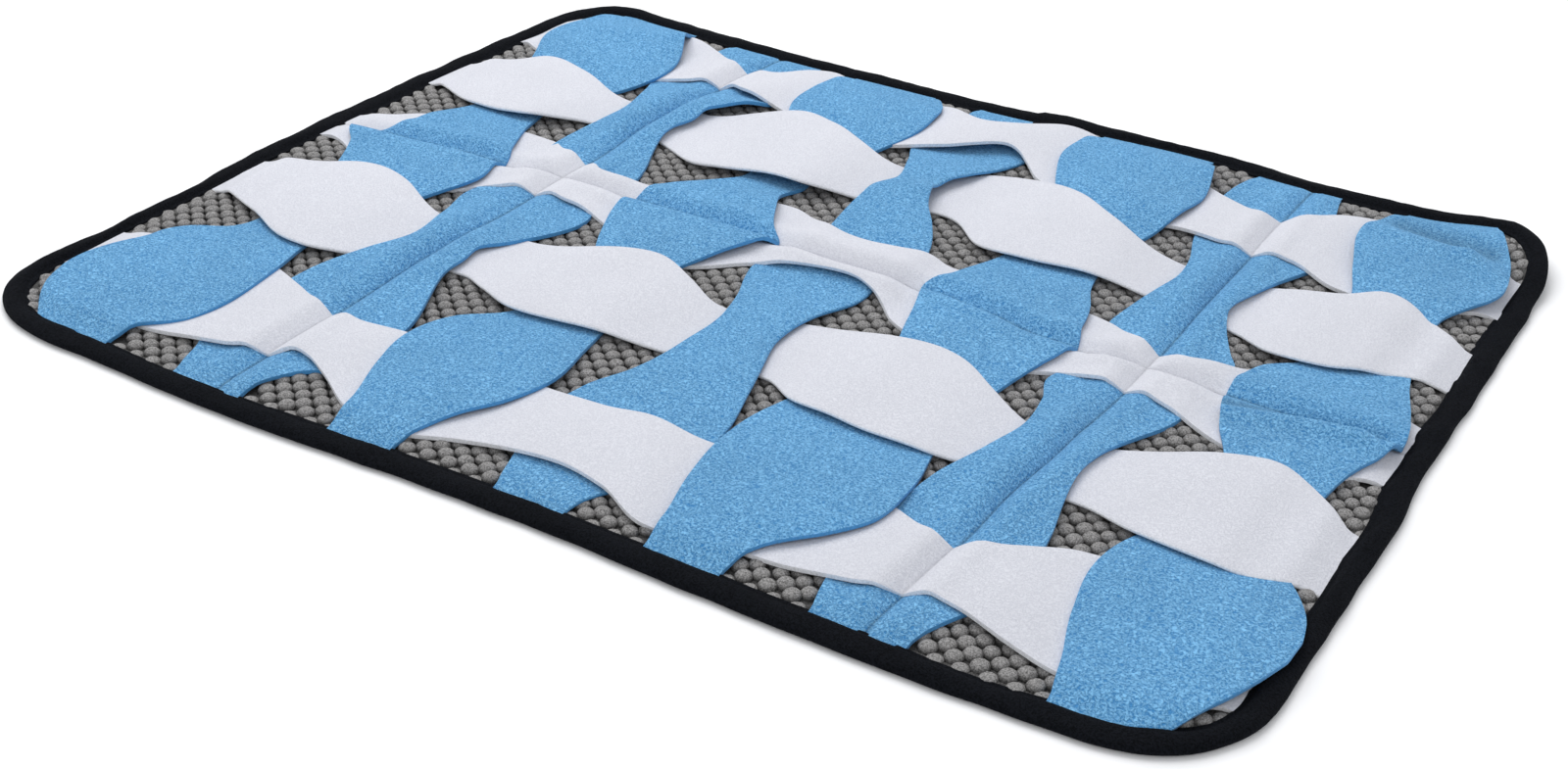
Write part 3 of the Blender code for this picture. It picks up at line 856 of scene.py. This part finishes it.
def stripPoint(kind, cut, sewnAlong, share, across):
    # where a point of the strip lies and how shaded it is: share and across go from -1 to 1
    halfAlong, halfAcross = kind["halfAlong"], kind["halfAcross"]
    along = share * (halfAlong - strip["endInset"])
    cornerInset = cut.get("cornerInset", strip["endInset"])
    widest = widestAt(halfAlong, halfAcross, along, cornerInset)
    low, high = max(curveAt(cut["low"], along), -widest), min(curveAt(cut["high"], along), widest)
    waveAt = along * strip["waveAlong"]
    low += strip["wave"] * uneven(waveAt, low * strip["waveAcross"], layers["lowEdge"])
    high += strip["wave"] * uneven(waveAt, high * strip["waveAcross"], layers["highEdge"])
    middle = valueAt(sewnAlong, along) if sewnAlong else (low + high) / 2
    lift, pull = drawAt(cut.get("draws", ()), along, across)
    sideways = middle + across * ((high - middle) if across > 0 else (middle - low)) - pull
    height = heightAt(cut["heights"], along) + lift
    x, y = (along, sideways) if kind["alongX"] else (sideways, along)
    height -= strip["droop"] * max(height - strip["level"], 0) * abs(across) ** 3
    crease = creaseLift(cut.get("creases", ()), x, y)
    ripple = uneven(x * strip["rippleScale"], y * strip["rippleScale"], kind["rippleLayer"])
    height += crease + strip["ripple"] * ripple

    # pulled down along the seams, and puffed up beside them
    toSeams = [abs(along - valueAt(seam, sideways)) for seam in kind["crossSeams"]]
    depth = height - strip["pulledTo"] - strip["pulledShare"] * (height - strip["level"])
    pulled = depth * fall(min(toSeams), strip["pulledWidth"])
    if sewnAlong:
        toSeams.append(abs(sideways - middle))
        pulled = max(pulled, depth * fall(toSeams[-1], strip["sewnWidth"]))
    toSeam = min(toSeams)
    height += strip["puff"] * math.exp(-((toSeam - strip["puffAt"]) / strip["puffWidth"]) ** 2) - pulled

    # down under the binding at the end
    reach = min(widestAt(halfAcross, halfAlong, sideways, cornerInset), halfAlong - strip["endInset"])
    drop = strip["endReach"] + strip["endSteepness"] * max(height - strip["level"], 0)
    height += smoothStep(1 - (reach - abs(along)) / drop) * (strip["endHeight"] - height)
    shade = max(math.exp(-(toSeam / strip["shadeWidth"]) ** 2), -crease * strip["creaseShade"])
    return laid(x, y, height), min(shade, 1)


def placesAlong(kind, sideways):
    # even steps, and closer ones by each seam that crosses the strip
    reach = kind["halfAlong"] - strip["endInset"]
    steps = round(2 * reach / strip["step"])
    clear = max(strip["seamOffsets"]) + strip["step"] / 2
    places = [-reach + 2 * reach * step / steps for step in range(steps + 1)]
    for seam in kind["crossSeams"]:
        middle = valueAt(seam, sideways)
        places = [place for place in places if abs(place - middle) > clear]
        places += [middle + offset for offset in strip["seamOffsets"]]
    return [place / reach for place in sorted(places)]


def placesAcross(sewnAlong):
    cells = strip["cellsAcross"]
    even = [-1 + 2 * cell / cells for cell in range(cells + 1)]
    if not sewnAlong:
        return even
    # closer to the seam down the middle
    return [math.copysign(abs(place) ** strip["crowding"], place) for place in even]


def makeStrip(colour, number):
    kind = weave[colour]
    cut = kind["strips"][number]
    sewnAlong = kind["sewnAlong"].get(number)
    alongs = placesAlong(kind, (cut["low"][0][1] + cut["high"][0][1]) / 2)
    acrosses = placesAcross(sewnAlong)
    bpy.ops.mesh.primitive_grid_add(
        x_subdivisions=len(alongs) - 1, y_subdivisions=len(acrosses) - 1, size=2)
    piece = bpy.context.object
    piece.name = f"{colour}Cloth_{number}"
    seamShade = piece.data.attributes.new("seam", "FLOAT", "POINT").data
    for vertex in piece.data.vertices:
        column = round((vertex.co.x + 1) / 2 * (len(alongs) - 1))
        row = round((vertex.co.y + 1) / 2 * (len(acrosses) - 1))
        vertex.co, seamShade[vertex.index].value = stripPoint(
            kind, cut, sewnAlong, alongs[column], acrosses[row])
    if not kind["alongX"]:
        # running along Y turns the grid over
        bpy.ops.object.mode_set(mode="EDIT")
        bpy.ops.mesh.select_all(action="SELECT")
        bpy.ops.mesh.flip_normals()
        bpy.ops.object.mode_set(mode="OBJECT")
    thicken = piece.modifiers.new("thickness", "SOLIDIFY")
    thicken.thickness = strip["thickness"] * mm
    thicken.offset = 0
    thicken.material_offset_rim = 1
    rounded = piece.modifiers.new("cut edge", "BEVEL")
    rounded.width = strip["round"] * mm
    rounded.segments = strip["roundSegments"]
    rounded.limit_method = "ANGLE"
    rounded.angle_limit = math.radians(strip["roundAbove"])
    for material in kind["cloths"]:
        piece.data.materials.append(material)
    bpy.ops.object.modifier_apply(modifier="thickness")
    bpy.ops.object.modifier_apply(modifier="cut edge")
    finishPiece(piece, f"{colour}_strip_{number}", f"{colour}_fleece")

    piece.select_set(False)


for colour, kind in weave.items():
    for number in kind["strips"]:
        makeStrip(colour, number)
print("strips made")

# Binding, a band folded over the edge

binding = {
    # inset, height, round the section from the inner face of the fold's back
    "section": ((2.2, 3.4), (8, 3.9), (13.0, 2.7), (15.8, 2.2), (16.5, 2.4), (16.7, 2.8), (16.4, 3.25),
                (15.4, 3.5), (14.3, 3.4), (13.4, 3.7), (12.0, 4.7), (10.2, 5.5), (8, 5.85), (5.6, 5.7),
                (3.5, 5.2), (1.9, 4.5), (0.8, 3.6), (0.25, 2.6), (0.3, 1.6), (1.1, 0.6), (2.6, 0.1),
                (5, 0), (11, 0), (15.8, 0), (16.6, 0.2), (16.7, 0.5), (16.2, 0.8), (9, 0.9), (2.2, 1.2)),
    "width": 17,
    "step": 3.2,
    "wave": 1.0,
    "puffScale": 0.05,
    "slackScale": 0.045,
    "pucker": 0.35,
    "puckerScale": 0.16,
    "puckerRound": 0.1,
    "upperFrom": 2.6,  # it puffs above this height, and fully so over the next two mm
    "upperOver": 2,
    "overStrip": 0.9,  # how far a strip's end below it lifts it, past this inset
    "stripFrom": 6,
    "stripOver": 8,
    "lapStart": 14,
    "lapFade": 80,
    "lapStep": 4.5,
    "lapWithin": 40,
}


def lapOut(x, y):
    # the upper end of the band, lapped over the other on the back edge, stands out
    if y < mat["halfWidth"] - binding["lapWithin"] or x < binding["lapStart"]:
        return 0
    return binding["lapStep"] * smoothStep(1 - (x - binding["lapStart"]) / binding["lapFade"])


def bindingRing(inset, height):
    ring = []
    upper = smoothStep((height - binding["upperFrom"]) / binding["upperOver"])
    outer = 1 - min(inset / binding["width"], 1)
    inner = smoothStep((inset - binding["stripFrom"]) / binding["stripOver"])
    puffed, puckered, slackened = binding["puffScale"], binding["puckerScale"], binding["slackScale"]
    puckerLayer = inset * binding["puckerRound"] + layers["bandPucker"]
    for x, y in outline(inset, binding["step"]):
        lift = binding["overStrip"] * stripUnder(x, y) * inner * upper
        puff = binding["wave"] * uneven(x * puffed, y * puffed, inset * puffed)
        puff += binding["pucker"] * uneven(x * puckered, y * puckered, puckerLayer)
        slack = binding["wave"] * uneven(x * slackened, y * slackened, layers["bandSlack"])
        away = (slack + lapOut(x, y)) * outer + narrowerAt(x, y) * (1 - outer)
        outwards = outwardsAt(x, y)
        ring.append(laid(x + outwards.x * away, y + outwards.y * away, max(height + lift + puff * upper, 0)))
    return ring


bindingBand = loft("bindingBand", [bindingRing(inset, height) for inset, height in binding["section"]],
                   closedTube=True)
finishPiece(bindingBand, "binding", "black_fleece", blackCloth)
print("binding made")

# Camera, floor and lights

view = {
    "place": (0.52391, -0.92160, 0.55125),
    "turn": (59.7545, -1.7067, 30.9915),
    "lens": 50.296,
    "sensor": 36,
}

camera = bpy.data.objects.new("camera", bpy.data.cameras.new("camera"))
bpy.context.collection.objects.link(camera)
camera.location = view["place"]
camera.rotation_euler = [math.radians(angle) for angle in view["turn"]]
camera.data.sensor_width = view["sensor"]
camera.data.lens = view["lens"]
bpy.context.scene.camera = camera

studio = {
    "floorSize": 12,
    "floorDrop": 0.0004,
    "floorColour": (0.97, 0.97, 0.975),
    "floorRoughness": 0.9,
    "skyColour": (0.95, 0.97, 1.0),
    "skyStrength": 0.6,
    # name, place, width, watts: each looks at the middle of the mat
    "lamps": (
        ("overhead", (-0.9, 0.85, 1.85), 1.9, 40),
        ("front", (0.9, -2.0, 1.5), 1.8, 11),
    ),
}

bpy.ops.mesh.primitive_plane_add(size=studio["floorSize"], location=(0, 0, -studio["floorDrop"]))
floor = bpy.context.object
floor.name = "floor"
palePaper = bpy.data.materials.new("palePaper")
palePaper.use_nodes = True
paperShader = palePaper.node_tree.nodes["Principled BSDF"]
paperShader.inputs["Base Color"].default_value = (*studio["floorColour"], 1)
paperShader.inputs["Roughness"].default_value = studio["floorRoughness"]
floor.data.materials.append(palePaper)

for name, place, width, watts in studio["lamps"]:
    lamp = bpy.data.lights.new(name, "AREA")
    lamp.size = width
    lamp.energy = watts
    lampObject = bpy.data.objects.new(name, lamp)
    bpy.context.collection.objects.link(lampObject)
    lampObject.location = place
    lampObject.rotation_euler = (-Vector(place)).to_track_quat("-Z", "Y").to_euler()

world = bpy.data.worlds.new("studio")
world.use_nodes = True
sky = world.node_tree.nodes["Background"]
sky.inputs["Color"].default_value = (*studio["skyColour"], 1)
sky.inputs["Strength"].default_value = studio["skyStrength"]
bpy.context.scene.world = world
bpy.context.scene.view_settings.view_transform = "Standard"
print("stage set")
